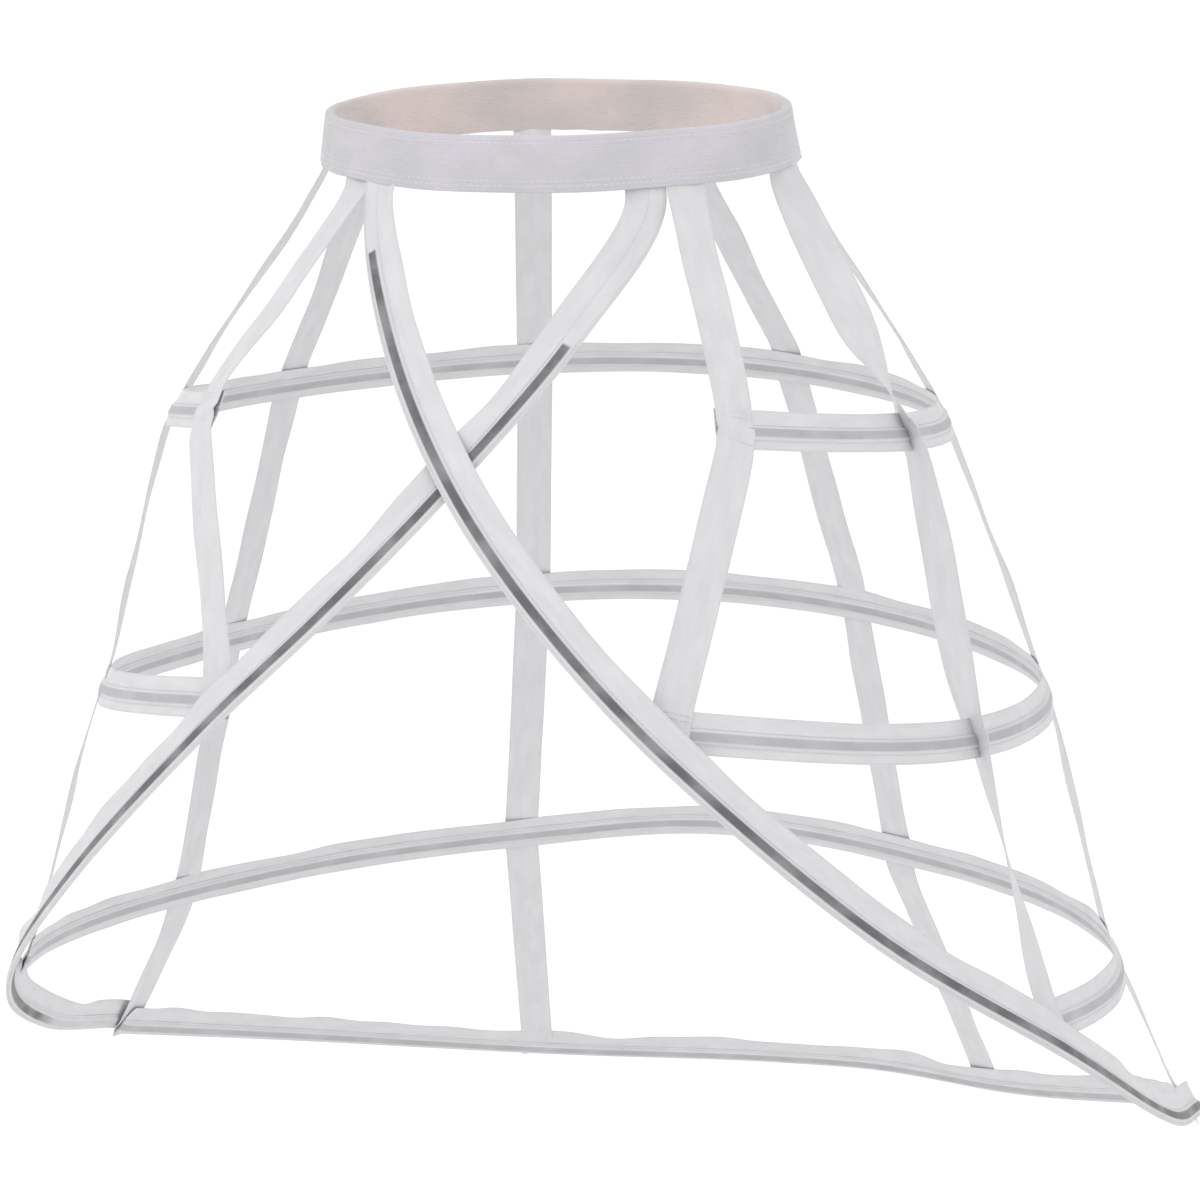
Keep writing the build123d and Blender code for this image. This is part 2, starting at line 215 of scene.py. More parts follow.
WAIST = Hoop(0.120, 0.089, 0.0, 0.0, 7.0, 0.0, 9.0, 180.0,
             {"back": 20.0, "rear": 68.0, "side": 98.0, "front": 136.0})
HIP = Hoop(0.198, 0.204, 0.004, -0.130, -2.3, 0.015, 28.0, 138.0,
           {"back": 22.0, "rear": 66.0, "side": 104.0, "front": 138.0})
THIGH = Hoop(0.248, 0.249, 0.031, -0.269, -2.5, 0.027, 20.0, 153.0,
             {"back": 23.0, "rear": 69.0, "side": 111.0, "front": 153.0},
             {-165: (0, 0), -60: (0, 0), 20: (0, -1), 85: (0, 4), 120: (0, -3), 165: (0, -2)})
KNEE = Hoop(0.289, 0.297, 0.026, -0.416, -3.6, 0.023, 20.0, 109.0,
            {"back": 24.0, "rear": 69.0, "side": 109.0},
            {-125: (0, -5), -90: (0, -6), -50: (0, -8), -20: (0, -5), -5: (0, 1), 30: (0, 0), 55: (0, 4),
             85: (0, 6), 125: (0, 2)})
HEM = Hoop(0.316, 0.368, 0.102, -0.524, -15.6, 0.0, 32.0, 83.0, {"back": 28.0, "rear": 83.0},
           {-110: (0, 0), -60: (0, -3), -25: (0, -2), 0: (0, 4), 12: (0, 5), 30: (0, -1), 60: (0, 4), 110: (0, 0)})
HOOPS = {"hip_hoop": HIP, "thigh_hoop": THIGH, "knee_hoop": KNEE, "hem": HEM}
PAIRS = ("back", "rear", "side", "front")
SIDES = {"left": 1, "right": -1}

# ---- how the ribbons lie on each other ----
SWELL_FOOT = 3.95 * MM          # from a bone's middle to the foot of its channel's swelling
SWELL_LEAD = 12 * MM            # over which the swelling grows where a bone starts inside a ribbon
HOOP_LOW = 8.45 * MM            # from a hoop's bone to the lower edge of its ribbon
EDGE_LOW = 5.15 * MM            # the same on the hem and the front edges
TAPE_OFFSET = 2.3 * MM          # from a hoop's middle out to a tape where it rides over the bone
TAPE_LIE = 1.1 * MM             # the same where the tape is sewn to the flat of the ribbon
EDGE_OFFSET = 5.25 * MM         # from a hoop's middle out to the front edge that laps over it
TIP_EASE = 0.5 * MM             # how much further out an edge lies where it laps over the hem's end
CROSSING_OFFSET = 1.825 * MM    # from the middle of the crossing to the bone of each front edge
BONE_WIDTH = 4.0 * MM
BONE_THICKNESS = 1.4 * MM
CAP_WIDTH = 4.5 * MM
CAP_THICKNESS = 1.9 * MM
CAP_LENGTH = 7 * MM
BONE_SETBACK = 5 * MM           # from a casing's end to the cap of its bone
PLY_OFFSET = 0.65 * MM          # two ribbons side by side in the waistband's pocket
POCKET_SHIFT = 0.5 * MM         # how far inside the band's middle they lie
RIBBON_INSET = 12 * MM          # how far each ribbon goes up into the waistband
WAIST_CLEAR = 2.5 * MM          # below the waistband before a ribbon turns outwards
TAPE_GRIP = 30 * MM             # how far a tape takes to turn towards its next hoop
EDGE_GRIP = 60 * MM             # the same for a front edge where it leaves the waistband
EDGE_DROP = 14 * MM             # from a hoop's middle down to the bone of an edge that passes its end
FOOT_TRIM = 8 * MM              # how far a tape's foot stops short of the bone of the edge over it
CASING_OVERRUN = 10 * MM        # how far a casing runs past the middle of its last tape

# ---- front edges ----
EDGE_WAIST_ANGLE = 146.2        # where the middle of each one's ribbon starts on the waistband
EDGE_UPPER = np.array([0.048, -0.124, -0.089])
EDGE_CROSSING = np.array([0.0, -0.176, -0.156])
EDGE_LOWER = np.array([0.052, -0.199, -0.215])
EDGE_FREE = np.array([0.206, -0.160, -0.365])
EDGE_FLARES = {"upper": 46.0, "crossing": 31.0, "lower": 22.0, "free": 14.0}    # degrees from upright
EDGE_HEM_ANGLE = 99.0           # where the edge falls into the line of the hem
OVER_EDGE_PLAIN = 38 * MM       # ribbon without a bone below the waistband
UNDER_EDGE_PLAIN = 96 * MM      # the same on the edge that lies inside


# ---- paths: the line of a ribbon, with the way its width runs and the way its outer face looks ----
@dataclass
class Path:
    centre: np.ndarray
    across: np.ndarray
    out: np.ndarray
    nodes: tuple = ()       # run at which each node lies

    @property
    def run(self):
        """Length so far: the running sum of the steps between points."""
        steps = np.linalg.norm(np.diff(self.centre, axis=0), axis=1)
        return np.concatenate([[0.0], np.cumsum(steps)])

    def at(self, run):
        """The frames read at other runs, by straight interpolation."""
        own = self.run
        read = [np.stack([np.interp(run, own, part[:, axis]) for axis in range(3)], axis=-1)
                for part in (self.centre, self.across, self.out)]
        return Path(read[0], unit(read[1]), unit(read[2]))

    def turned(self, degrees):
        """The same line with the ribbon twisted about it: across and out turn by an angle given at each point."""
        angle = np.radians(degrees)[:, None]
        return Path(self.centre, self.across * np.cos(angle) + self.out * np.sin(angle),
                    self.out * np.cos(angle) - self.across * np.sin(angle), self.nodes)


def hoop_path(hoop, start, end):
    count = max(3, int(abs(end - start) * np.pi / 180 * hoop.half_width / RUN_STEP))
    angles = np.linspace(start, end, count)
    return Path(hoop.point(angles), hoop.down(angles), hoop.out(angles))


@dataclass
class Node:
    """A place that a ribbon passes, with the way it heads and the way its outer face looks."""
    point: np.ndarray
    heading: np.ndarray
    out: np.ndarray
    grip: float = np.inf    # the most of a free stretch over which the ribbon still follows that heading


def mirrored(vector, side):
    return np.asarray(vector) * np.array([side, 1.0, 1.0])


def on_hoop(hoop, angle, side, below, offset, heading=None, back=0.0):
    """A node on one side of a hoop, below its bone, out from its middle and back towards the centre back."""
    angle = np.float64(angle)
    down, out, tangent = hoop.down(side * angle), hoop.out(side * angle), hoop.tangent(side * angle)
    heading = down if heading is None else square_to(mirrored(heading, side), out)
    point = hoop.point(side * angle) + heading * (below / dot(heading, down)) + out * offset - tangent * back * side
    return Node(point, heading, out)


def in_waistband(angle, side, layer, back=0.0):
    """The two nodes of a ribbon that is sewn between the layers of the waistband."""
    half = bpy.context.scene.cage_waistband.height / 2
    offset = layer * PLY_OFFSET - POCKET_SHIFT
    return [on_hoop(WAIST, angle, side, below, offset, back=back)
            for below in (half - RIBBON_INSET, half + WAIST_CLEAR)]


def chain(nodes, side):
    """A path through nodes. Each span is the cubic that keeps both headings, each over the length of the span or the
    node's grip, whichever is less; the outer face goes straight from one node's to the next, squared to the line."""
    point, heading, out = (np.array([getattr(node, key) for node in nodes]) for key in ("point", "heading", "out"))
    grip = np.array([node.grip for node in nodes])[:, None]

    def frames(position):
        index = np.minimum(position.astype(int), len(nodes) - 2)
        u = (position - index)[:, None]
        reach = np.linalg.norm(point[index + 1] - point[index], axis=1, keepdims=True)
        start, end = (heading[near] * np.minimum(reach, grip[near]) for near in (index, index + 1))
        blend = 3 * u ** 2 - 2 * u ** 3
        centre = (point[index] * (1 - blend) + point[index + 1] * blend
                  + start * (u - 2 * u ** 2 + u ** 3) + end * (u ** 3 - u ** 2))
        slope = ((point[index + 1] - point[index]) * (6 * u - 6 * u ** 2)
                 + start * (1 - 4 * u + 3 * u ** 2) + end * (3 * u ** 2 - 2 * u))
        ahead = unit(slope)
        outer = square_to(out[index] * (1 - u) + out[index + 1] * u, ahead)
        return centre, np.cross(ahead, outer) * side, outer

    fine = np.linspace(0, len(nodes) - 1, (len(nodes) - 1) * CHAIN_SPAN_STEPS + 1)
    steps = np.linalg.norm(np.diff(frames(fine)[0], axis=0), axis=1)
    lengths = np.concatenate([[0.0], np.cumsum(steps)])
    even = np.linspace(0, lengths[-1], max(3, int(lengths[-1] / CHAIN_STEP)))
    return Path(*frames(np.interp(even, lengths, fine)), nodes=tuple(lengths[::CHAIN_SPAN_STEPS]))


def tape_path(pair, side):
    """A tape from the waistband down over its hoops, hugging each casing and riding over its bone."""
    hoops = [hoop for hoop in (HIP, THIGH, KNEE, HEM) if pair in hoop.stations]
    places = [hoop.point(np.float64(hoop.stations[pair])) for hoop in (WAIST, *hoops)]
    nodes = in_waistband(WAIST.stations[pair], side, side if pair == "front" else 0)
    width = bpy.context.scene.cage_ribbon.width
    for index, hoop in enumerate(hoops, start=1):
        last = index == len(hoops)
        before = unit(places[index] - places[index - 1])
        after = before if last else unit(places[index + 1] - places[index])
        low = EDGE_LOW if hoop is HEM else HOOP_LOW
        foot = low + MM if not last else low if hoop is HEM else EDGE_DROP - FOOT_TRIM
        lie = [(low - width - MM, TAPE_LIE, before), (-SWELL_FOOT - MM, TAPE_LIE, before),
               (0.0, TAPE_OFFSET, before + after), (min(SWELL_FOOT + MM, foot), TAPE_LIE, after)]
        lie += [(foot, TAPE_LIE, after)] * (foot > SWELL_FOOT + 2 * MM)
        nodes += [on_hoop(hoop, hoop.stations[pair], side, below, offset, heading) for below, offset, heading in lie]
    for node in nodes:
        node.grip = TAPE_GRIP
    return chain(nodes, side)


def free_node(point, flare, side, offset=0.0):
    """A node of a front edge that no hoop carries; its face looks away from the body's axis."""
    tilt = np.radians(flare)
    out = unit(point * [1, 1, 0]) * np.cos(tilt) + np.array([0, 0, np.sin(tilt)])
    return Node(mirrored(point + out * offset, side), np.zeros(3), mirrored(out, side))


def front_edge_path(side, layer):
    """A front edge from its start across the body to its tip on the side given."""
    width = bpy.context.scene.cage_ribbon.width
    upper, crossing, lower, free = (EDGE_FLARES[key] for key in ("upper", "crossing", "lower", "free"))
    nodes = in_waistband(EDGE_WAIST_ANGLE, -side, layer, back=width / 2 - EDGE_LOW)
    nodes[-1].grip = EDGE_GRIP
    nodes += [free_node(EDGE_UPPER, upper, -side), free_node(EDGE_CROSSING, crossing, side, layer * CROSSING_OFFSET),
              free_node(EDGE_LOWER, lower, side), on_hoop(THIGH, THIGH.end, side, EDGE_DROP, EDGE_OFFSET),
              free_node(EDGE_FREE, free, side), on_hoop(KNEE, KNEE.end, side, EDGE_DROP, EDGE_OFFSET),
              on_hoop(HEM, EDGE_HEM_ANGLE, side, 0, EDGE_OFFSET)]
    nodes += [on_hoop(HEM, angle, side, 0, EDGE_OFFSET + TIP_EASE)
              for angle in (HEM.end, HEM.angle_beyond(HEM.end, -CASING_OVERRUN))]
    for before, node, after in zip(nodes[1:], nodes[2:], nodes[3:]):
        node.heading = unit(after.point - before.point)
    nodes[-1].heading = unit(nodes[-1].point - nodes[-2].point)
    return chain(nodes, side)


# ---- meshes ----
def placed(name, data):
    """A new object in the scene for a mesh, a light or a camera."""
    obj = bpy.data.objects.new(name, data)
    bpy.context.scene.collection.objects.link(obj)
    return obj


def smoothed(mesh):
    mesh.polygons.foreach_set("use_smooth", np.ones(len(mesh.polygons), dtype=bool))


def reshell(mesh, work):
    """Does some work on a mesh as one editable shell."""
    shell = bmesh.new()
    shell.from_mesh(mesh)
    work(shell)
    shell.to_mesh(mesh)
    shell.free()


def quads_of(rows, columns, offset=0):
    """The quads of a grid of vertices, row by row."""
    corner = (np.arange(rows - 1)[:, None] * columns + np.arange(columns - 1)).ravel() + offset
    return np.stack([corner, corner + columns, corner + columns + 1, corner + 1], axis=1)


def piece(name, vertices, faces, uv, materials, face_material=None, weld=False):
    """A smooth mesh object at the origin, riding on the cage. uv holds one pair for each vertex, in millimetres."""
    mesh = bpy.data.meshes.new(name)
    mesh.from_pydata(vertices.reshape(-1, 3), [], faces.tolist())
    layer = mesh.uv_layers.new(name="weave")
    loops = np.empty(len(mesh.loops), dtype=np.int32)
    mesh.loops.foreach_get("vertex_index", loops)
    layer.uv.foreach_set("vector", uv.reshape(-1, 2)[loops].astype(np.float32).ravel())
    for material in materials:
        mesh.materials.append(material)
    if face_material is not None:
        mesh.polygons.foreach_set("material_index", face_material.astype(np.int32))
    smoothed(mesh)
    if weld:
        reshell(mesh, lambda shell: bmesh.ops.remove_doubles(shell, verts=shell.verts, dist=1e-6))
    mesh.set_sharp_from_angle(angle=SHARP)
    mesh.update()
    obj = placed(name, mesh)
    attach(obj, "root")
    return obj


def slab(front, back):
    """A closed sheet from its outer and inner faces, two grids of the same shape joined round their border."""
    rows, columns = front.shape[:2]
    index = np.arange(rows * columns).reshape(rows, columns)
    rim = np.concatenate([index[0, :-1], index[:-1, -1], index[-1, :0:-1], index[:0:-1, 0]])
    after, under = np.roll(rim, -1), rows * columns
    faces = np.concatenate([quads_of(rows, columns), quads_of(rows, columns, under)[:, ::-1],
                            np.stack([rim, after, after + under, rim + under], axis=1)])
    middle = front[rows // 2, columns // 2]
    normal = np.cross(front[rows // 2 + 1, columns // 2] - middle, front[rows // 2, columns // 2 + 1] - middle)
    if normal @ (middle - back[rows // 2, columns // 2]) < 0:
        faces = faces[:, ::-1]
    return np.concatenate([front.reshape(-1, 3), back.reshape(-1, 3)]), faces


def laid(path, across, out):
    """Points at given distances across and out from a path, each array one row for each point of the path."""
    return path.centre[:, None] + path.across[:, None] * across[..., None] + path.out[:, None] * out[..., None]


def columns_across(low, high, border, inner):
    """Distances across a ribbon, closer together at its two woven edges."""
    return np.concatenate([[low, low + border * 0.4, low + border], np.linspace(low, high, inner + 2)[1:-1],
                           [high - border, high - border * 0.4, high]])


def flutter(run, across, middle, half, seed):
    """How far a ribbon waves out of its own line: a few long sines along it, more at its edges than its middle."""
    share = (across - middle) / half
    waves = sum(np.sin(run * 2 * np.pi / length + seed * phase) * weight
                for length, phase, weight in ((0.083, 1.7, 0.6), (0.047, 2.9, 0.3), (0.131, 4.3, 0.8)))
    lean = sum(np.sin(run * 2 * np.pi / length + seed * phase) * weight
               for length, phase, weight in ((0.109, 3.1, 0.7), (0.061, 5.3, 0.4)))
    return waves[:, None] * share ** 2 + lean[:, None] * share


def plain_ribbon(name, path, low, high, lift, seed, materials):
    """A ribbon along a path, between two distances across it, with its woven edges a little thicker."""
    settings = bpy.context.scene.cage_ribbon
    across = columns_across(low, high, settings.selvedge, 7)[None, :] * np.ones((len(path.centre), 1))
    edge = np.minimum(across - low, high - across)
    half_ply = settings.ply / 2 * np.where(edge < 1e-7, 0.55, np.where(edge < settings.selvedge * 0.7, 1.25, 1.0))
    free = smooth_step(path.run / 0.03 - 0.4)[:, None]
    middle = flutter(path.run, across, (low + high) / 2, (high - low) / 2, seed) * settings.flutter * free + lift
    front, back = laid(path, across, middle + half_ply), laid(path, across, middle - half_ply)
    vertices, faces = slab(front, back)
    uv = np.stack([across, path.run[:, None] + 0 * across], axis=-1) / MM
    obj = piece(name, vertices, faces, np.stack([uv, uv]), materials)
    return obj


FACE_GAP = 0.02 * MM            # keeps two layers that lie face to face apart
CHANNEL_SEAM = 1.1 * MM         # flat of a channel tape beyond its swelling, on each side


def swelling(across, bone):
    """The rise of cloth over a bone: flat on the bone, falling off as a raised cosine on each side."""
    top, foot = bone.channel_width / 2 * 0.86, SWELL_FOOT
    return 0.5 + 0.5 * np.cos(np.pi * np.clip((np.abs(across) - top) / (foot - top), 0, 1))


def casing(name, path, low, bone_start, seed, materials):
    """A boned ribbon: an outer layer that swells out round the bone, and a narrower channel tape sewn inside it. The
    swelling closes at both ends of the ribbon, where the channel is sewn shut."""
    ribbon, bone = bpy.context.scene.cage_ribbon, bpy.context.scene.cage_bone
    high, width = low - ribbon.width, ribbon.width
    run = path.run
    fine = np.linspace(-SWELL_FOOT, SWELL_FOOT, 13)
    coarse = columns_across(high, low, ribbon.selvedge, 7)
    columns = np.unique(np.round(np.concatenate([fine, coarse[np.abs(coarse) > SWELL_FOOT * 1.06]]), 7))
    across = columns[None, :] * np.ones((len(run), 1))
    mouth = np.minimum(run, run[-1] - run) / BONE_SETBACK
    boned = (smooth_step((run - bone_start + SWELL_LEAD) / SWELL_LEAD) * smooth_step(mouth))[:, None]
    rise = swelling(across, bone) * boned * bone.channel_thickness / 2
    edge = np.minimum(across - high, low - across)
    ply = ribbon.ply * 0.8 * np.where(edge < 1e-7, 0.5, 1.0)
    off_bone = np.clip((np.abs(across) - SWELL_FOOT) / (width / 2), 0, 1)
    wave = flutter(run, across, 0.0, width * 0.6, seed) * ribbon.flutter * 1.6 * off_bone
    inner = wave + rise + FACE_GAP
    vertices, faces = slab(laid(path, across, inner + ply), laid(path, across, inner))
    uv = np.stack([across, run[:, None] + 0 * across], axis=-1) / MM
    outer = piece(name, vertices, faces, np.stack([uv, uv]), materials)

    kept = run >= bone_start - SWELL_LEAD / 2
    strip = Path(path.centre[kept], path.across[kept], path.out[kept])
    half = SWELL_FOOT + CHANNEL_SEAM
    across = np.concatenate([[-half], fine, [half]])[None, :] * np.ones((kept.sum(), 1))
    rise = swelling(across, bone) * boned[kept] * bone.channel_thickness / 2 + FACE_GAP
    ply = ribbon.ply * 0.6
    vertices, faces = slab(laid(strip, across, -rise), laid(strip, across, -rise - ply))
    uv = np.stack([across, run[kept][:, None] + 0 * across], axis=-1) / MM
    channel = piece(name + "_channel_tape", vertices, faces, np.stack([uv, uv]), materials)
    return outer


# ---- sewing ----
STITCH_LENGTH = 2.3 * MM
STITCH_PITCH = 2.9 * MM
THREAD = 0.17 * MM              # half the thickness of a stitch
SEAM_OUT = 0.3 * MM             # from the foot of a swelling to the row of stitches beside it
SEAMS_DOWN = (2.4 * MM, 5.0 * MM, 17.6 * MM)    # rows across a tape, below the place where it meets a casing


def stitch_row(points, out, pitch=STITCH_PITCH):
    """Places of stitches along a line, a pitch apart: the middle, the way along and the way out of each."""
    line = Path(points, out, out)
    run = np.arange(pitch / 2, line.run[-1], pitch)
    centre = line.at(run)
    after, before = (line.at(np.clip(run + step, 0, line.run[-1])).centre for step in (0.5 * MM, -0.5 * MM))
    ahead = unit(after - before)
    return centre.centre, ahead, square_to(centre.out, ahead)


def beside_bone(path, lift, kept=slice(None)):
    """Two rows of stitches along a casing, one on each side of its channel."""
    return [stitch_row((path.centre + path.across * across + path.out * lift)[kept], path.out[kept])
            for across in (-SWELL_FOOT - SEAM_OUT, SWELL_FOOT + SEAM_OUT)]


def stitching(name, rows, material):
    """All stitches of a piece. One stitch is a six-sided thread, a half sine wide along its length, whose ends dip."""
    centre, ahead, out = (np.concatenate([row[k] for row in rows]) for k in range(3))
    side = np.cross(ahead, out)
    s = np.array([-0.5, -0.36, 0.0, 0.36, 0.5])
    turn = np.arange(6) * np.pi / 3
    radius = THREAD * np.array([0.15, 0.85, 1.0, 0.85, 0.15])
    along = (s * STITCH_LENGTH)[:, None] + 0 * turn
    sideways = radius[:, None] * np.cos(turn)
    outwards = radius[:, None] * np.sin(turn) - THREAD * 5 * s[:, None] ** 2 + THREAD * 0.7
    vertices = (centre[:, None, None] + ahead[:, None, None] * along[None, ..., None]
                + side[:, None, None] * sideways[None, ..., None] + out[:, None, None] * outwards[None, ..., None])
    ring = np.arange(6)
    after = (ring + 1) % 6
    tube = np.concatenate([np.stack([ring + 6 * k, after + 6 * k, after + 6 * (k + 1), ring + 6 * (k + 1)], axis=1)
                           for k in range(4)])
    ends = np.array([[3, 2, 1, 0], [5, 4, 3, 0], [24, 25, 26, 27], [24, 27, 28, 29]])
    one = np.concatenate([tube, ends])
    faces = (one[None] + 30 * np.arange(len(centre))[:, None, None]).reshape(-1, 4)
    a, b, c = (vertices.reshape(-1, 3)[faces[0, k]] for k in range(3))
    if np.cross(b - a, c - a) @ (a - centre[0]) < 0:
        faces = faces[:, ::-1]
    uv = np.zeros((len(centre) * 30, 2))
    return piece(name, vertices, faces, uv, [material])


# ---- materials ----
class Nodes:
    """A short way to lay nodes in a material."""

    def __init__(self, name):
        self.material = bpy.data.materials.new(name)
        self.material.use_nodes = True
        self.tree = self.material.node_tree
        self.shader = self.tree.nodes["Principled BSDF"]

    def add(self, kind, inputs=(), **settings):
        node = self.tree.nodes.new(kind)
        for key, value in settings.items():
            setattr(node, key, value)
        for key, value in dict(inputs).items():
            self.put(node.inputs[key], value)
        return node

    def put(self, socket, value):
        if isinstance(value, bpy.types.NodeSocket):
            self.tree.links.new(value, socket)
        else:
            socket.default_value = value

    def surface(self, **values):
        """Sets or links sockets of the shader, each named as in Blender with _ for a space."""
        for key, value in values.items():
            self.put(self.shader.inputs[key.replace("_", " ")], value)

    def bumped(self, height, distance, strength=0.5):
        bump = self.add("ShaderNodeBump", {"Height": height, "Distance": distance, "Strength": strength})
        return bump.outputs[0]

    def maths(self, operation, *values):
        return self.add("ShaderNodeMath", dict(enumerate(values)), operation=operation).outputs[0]

    def times(self, a, b):
        return self.maths("MULTIPLY", a, b)

    def waves(self, place, pitch):
        """A sine along one distance, with the pitch given."""
        return self.maths("SINE", self.times(place, 2 * np.pi / pitch))

    def ramp(self, value, low, high):
        """0 below low, 1 above high, and a smooth step between them."""
        node = self.add("ShaderNodeMapRange", {"Value": value, "From Min": low, "From Max": high},
                        interpolation_type="SMOOTHSTEP")
        return node.outputs["Result"]

    def mix(self, factor, a, b):
        """Colour a where the factor is 0, b where it is 1. Sockets 6, 7 and output 2 are the node's colours."""
        node = self.add("ShaderNodeMix", data_type="RGBA")
        self.put(node.inputs["Factor"], factor)
        for index, colour in ((6, a), (7, b)):
            self.put(node.inputs[index], colour if isinstance(colour, bpy.types.NodeSocket) else (*colour, 1.0))
        return node.outputs[2]

    def lumps(self, scale, detail):
        """Noise in the object's own space."""
        place = self.add("ShaderNodeTexCoord").outputs["Object"]
        return self.add("ShaderNodeTexNoise", {"Vector": place, "Scale": scale, "Detail": detail}).outputs["Fac"]

    def weave_plane(self):
        """Distances across and along the ribbon, in millimetres, from its own UV map."""
        split = self.add("ShaderNodeSeparateXYZ", {"Vector": self.add("ShaderNodeUVMap", uv_map="weave").outputs[0]})
        return split.outputs["X"], split.outputs["Y"]

    def noise(self, across, along, across_scale, along_scale, detail=3.0, seed=0.0):
        place = self.add("ShaderNodeCombineXYZ", {"X": self.times(across, across_scale),
                                                  "Y": self.times(along, along_scale), "Z": seed})
        node = self.add("ShaderNodeTexNoise", {"Vector": place.outputs[0], "Scale": 1.0, "Detail": detail})
        return node.outputs["Fac"]


def ribbon_cloth(name, colour, low=None, shade=None, bone_start=None, fade=None, twill=False):
    """Plain-woven ribbon. Threads are the product of two sines 0.42 mm apart, creases are long noise whose colour is
    painted shade and light, darker in their hollows and lighter on their ridges, and where a bone lies under the cloth
    the colour falls towards a painted shade of its channel, soft at both sides of it. low is the ribbon's lower edge,
    bone_start and fade the runs where the painted shade begins and goes, all in millimetres."""
    n = Nodes(name)
    across, along = n.weave_plane()

    def tone(share):
        return [c * share for c in colour]

    threads = n.times(n.waves(across, 0.42), n.waves(along, 0.42))
    streaks = n.noise(across, along, 2.6, 0.012, seed=3.0)
    creases = n.noise(across, along, 0.16, 0.045, detail=4.0, seed=8.0)
    # The creases' colour is painted shade and light: darker where their bump is low, lighter where it is high.
    cloth = n.mix(n.ramp(creases, 0.3, 0.72), tone(0.95), tone(1.03))
    cloth = n.mix(n.times(n.ramp(streaks, 0.42, 0.66), 0.16), cloth, tone(0.84))
    cloth = n.mix(n.times(n.ramp(threads, -0.2, 0.9), 0.07), cloth, tone(0.72))
    height = n.maths("ADD", n.times(threads, 0.03), n.times(creases, 0.5))
    if low is not None:
        inwards = n.maths("MINIMUM", n.maths("SUBTRACT", low, across), n.maths("SUBTRACT", across, low - 20.0))
        selvedge = n.maths("SUBTRACT", 1.0, n.ramp(inwards, 0.55, 1.1))
        cloth = n.mix(n.times(selvedge, 0.5), cloth, tone(0.86))
        height = n.maths("ADD", height, n.times(selvedge, 0.12))
    # Painted shade along the channel over a bone: the colour falls towards the shade colour, most over the bone and
    # less at the channel's sides.
    if shade is not None:
        from_bone = n.maths("ABSOLUTE", across)
        over = n.maths("SUBTRACT", 1.0, n.ramp(from_bone, 1.7, 2.75))
        # Noise makes the painted shade uneven along the channel, between 74 and 100 percent of its strength.
        shade_unevenness = n.ramp(n.noise(across, along, 0.05, 0.035, detail=4.0, seed=15.0), 0.32, 0.62)
        over = n.times(over, n.maths("ADD", 0.74, n.times(shade_unevenness, 0.26)))
        if bone_start is not None:
            over = n.times(over, n.ramp(along, bone_start - 1.5, bone_start + 0.5))
        if fade is not None:
            over = n.times(over, n.maths("SUBTRACT", 1.0, n.times(n.ramp(along, *fade), 0.8)))
        under = shade
        # Slanting twill marks, darker than the painted shade, are drawn inside it.
        if twill:
            slant = n.waves(n.maths("ADD", across, along), 1.5)
            under = n.mix(n.times(n.ramp(slant, -0.4, 0.8), 0.4), shade, [c * 0.55 for c in shade])
            height = n.maths("ADD", height, n.times(n.times(slant, over), 0.08))
        cloth = n.mix(over, cloth, under)
        # Painted shade in the groove at the foot of the channel's swelling, on both sides.
        groove_shade = n.times(n.ramp(from_bone, 3.0, 3.7), n.maths("SUBTRACT", 1.0, n.ramp(from_bone, 3.9, 4.6)))
        cloth = n.mix(n.times(groove_shade, 0.22), cloth, tone(0.6))
    n.surface(Base_Color=cloth, Roughness=0.72, Sheen_Weight=0.12, Sheen_Roughness=0.45,
              Normal=n.bumped(height, 0.0007))
    return n.material


def elastic_cloth(name, colour, warmth):
    """Ribbed elastic: upright ribs 1.3 mm apart, crossed by fine threads, with long soft stains of a second colour."""
    n = Nodes(name)
    across, along = n.weave_plane()
    ribs, threads = n.waves(across, 1.3), n.waves(along, 0.7)
    stains = n.noise(across, along, 0.03, 0.018, detail=3.0, seed=5.0)
    cloth = n.mix(n.ramp(stains, 0.34, 0.66), [c * 0.95 for c in colour], warmth)
    cloth = n.mix(n.times(n.ramp(ribs, -0.6, 0.9), 0.10), cloth, [c * 0.75 for c in colour])
    grain = n.noise(across, along, 1.7, 1.7, detail=2.0, seed=11.0)
    cloth = n.mix(n.times(grain, 0.10), cloth, [c * 0.8 for c in colour])
    height = n.maths("ADD", n.times(ribs, 0.10), n.times(threads, 0.05))
    height = n.maths("ADD", height, n.times(stains, 0.6))
    n.surface(Base_Color=cloth, Roughness=0.82, Sheen_Weight=0.18, Sheen_Roughness=0.5,
              Normal=n.bumped(height, 0.0008))
    return n.material


def thread_material(name, colour):
    """Sewing thread: even colour with a little noise, and some sheen."""
    n = Nodes(name)
    n.surface(Base_Color=n.mix(n.times(n.lumps(900.0, 2.0), 0.4), colour, [c * 0.75 for c in colour]), Roughness=0.6,
              Sheen_Weight=0.2)
    return n.material


def steel_material(name, colour):
    """Sprung flat steel with faint darker patches and an uneven gloss."""
    n = Nodes(name)
    patches, fine = n.lumps(60.0, 4.0), n.lumps(1500.0, 2.0)
    n.surface(Base_Color=n.mix(n.ramp(patches, 0.35, 0.7), colour, [c * 0.7 for c in colour]), Metallic=1.0,
              Roughness=n.maths("ADD", 0.28, n.times(fine, 0.15)))
    return n.material


def dipped_material(name, colour):
    """The plastic dip on a bone's end: dull, with a slightly uneven surface."""
    n = Nodes(name)
    lumps = n.lumps(400.0, 3.0)
    n.surface(Base_Color=n.mix(lumps, [c * 0.8 for c in colour], [c * 1.3 for c in colour]), Roughness=0.5,
              Normal=n.bumped(lumps, 0.0003, 0.4))
    return n.material


def thread():
    return bpy.data.materials.get("sewing_thread") or thread_material("sewing_thread", (0.70, 0.70, 0.72))


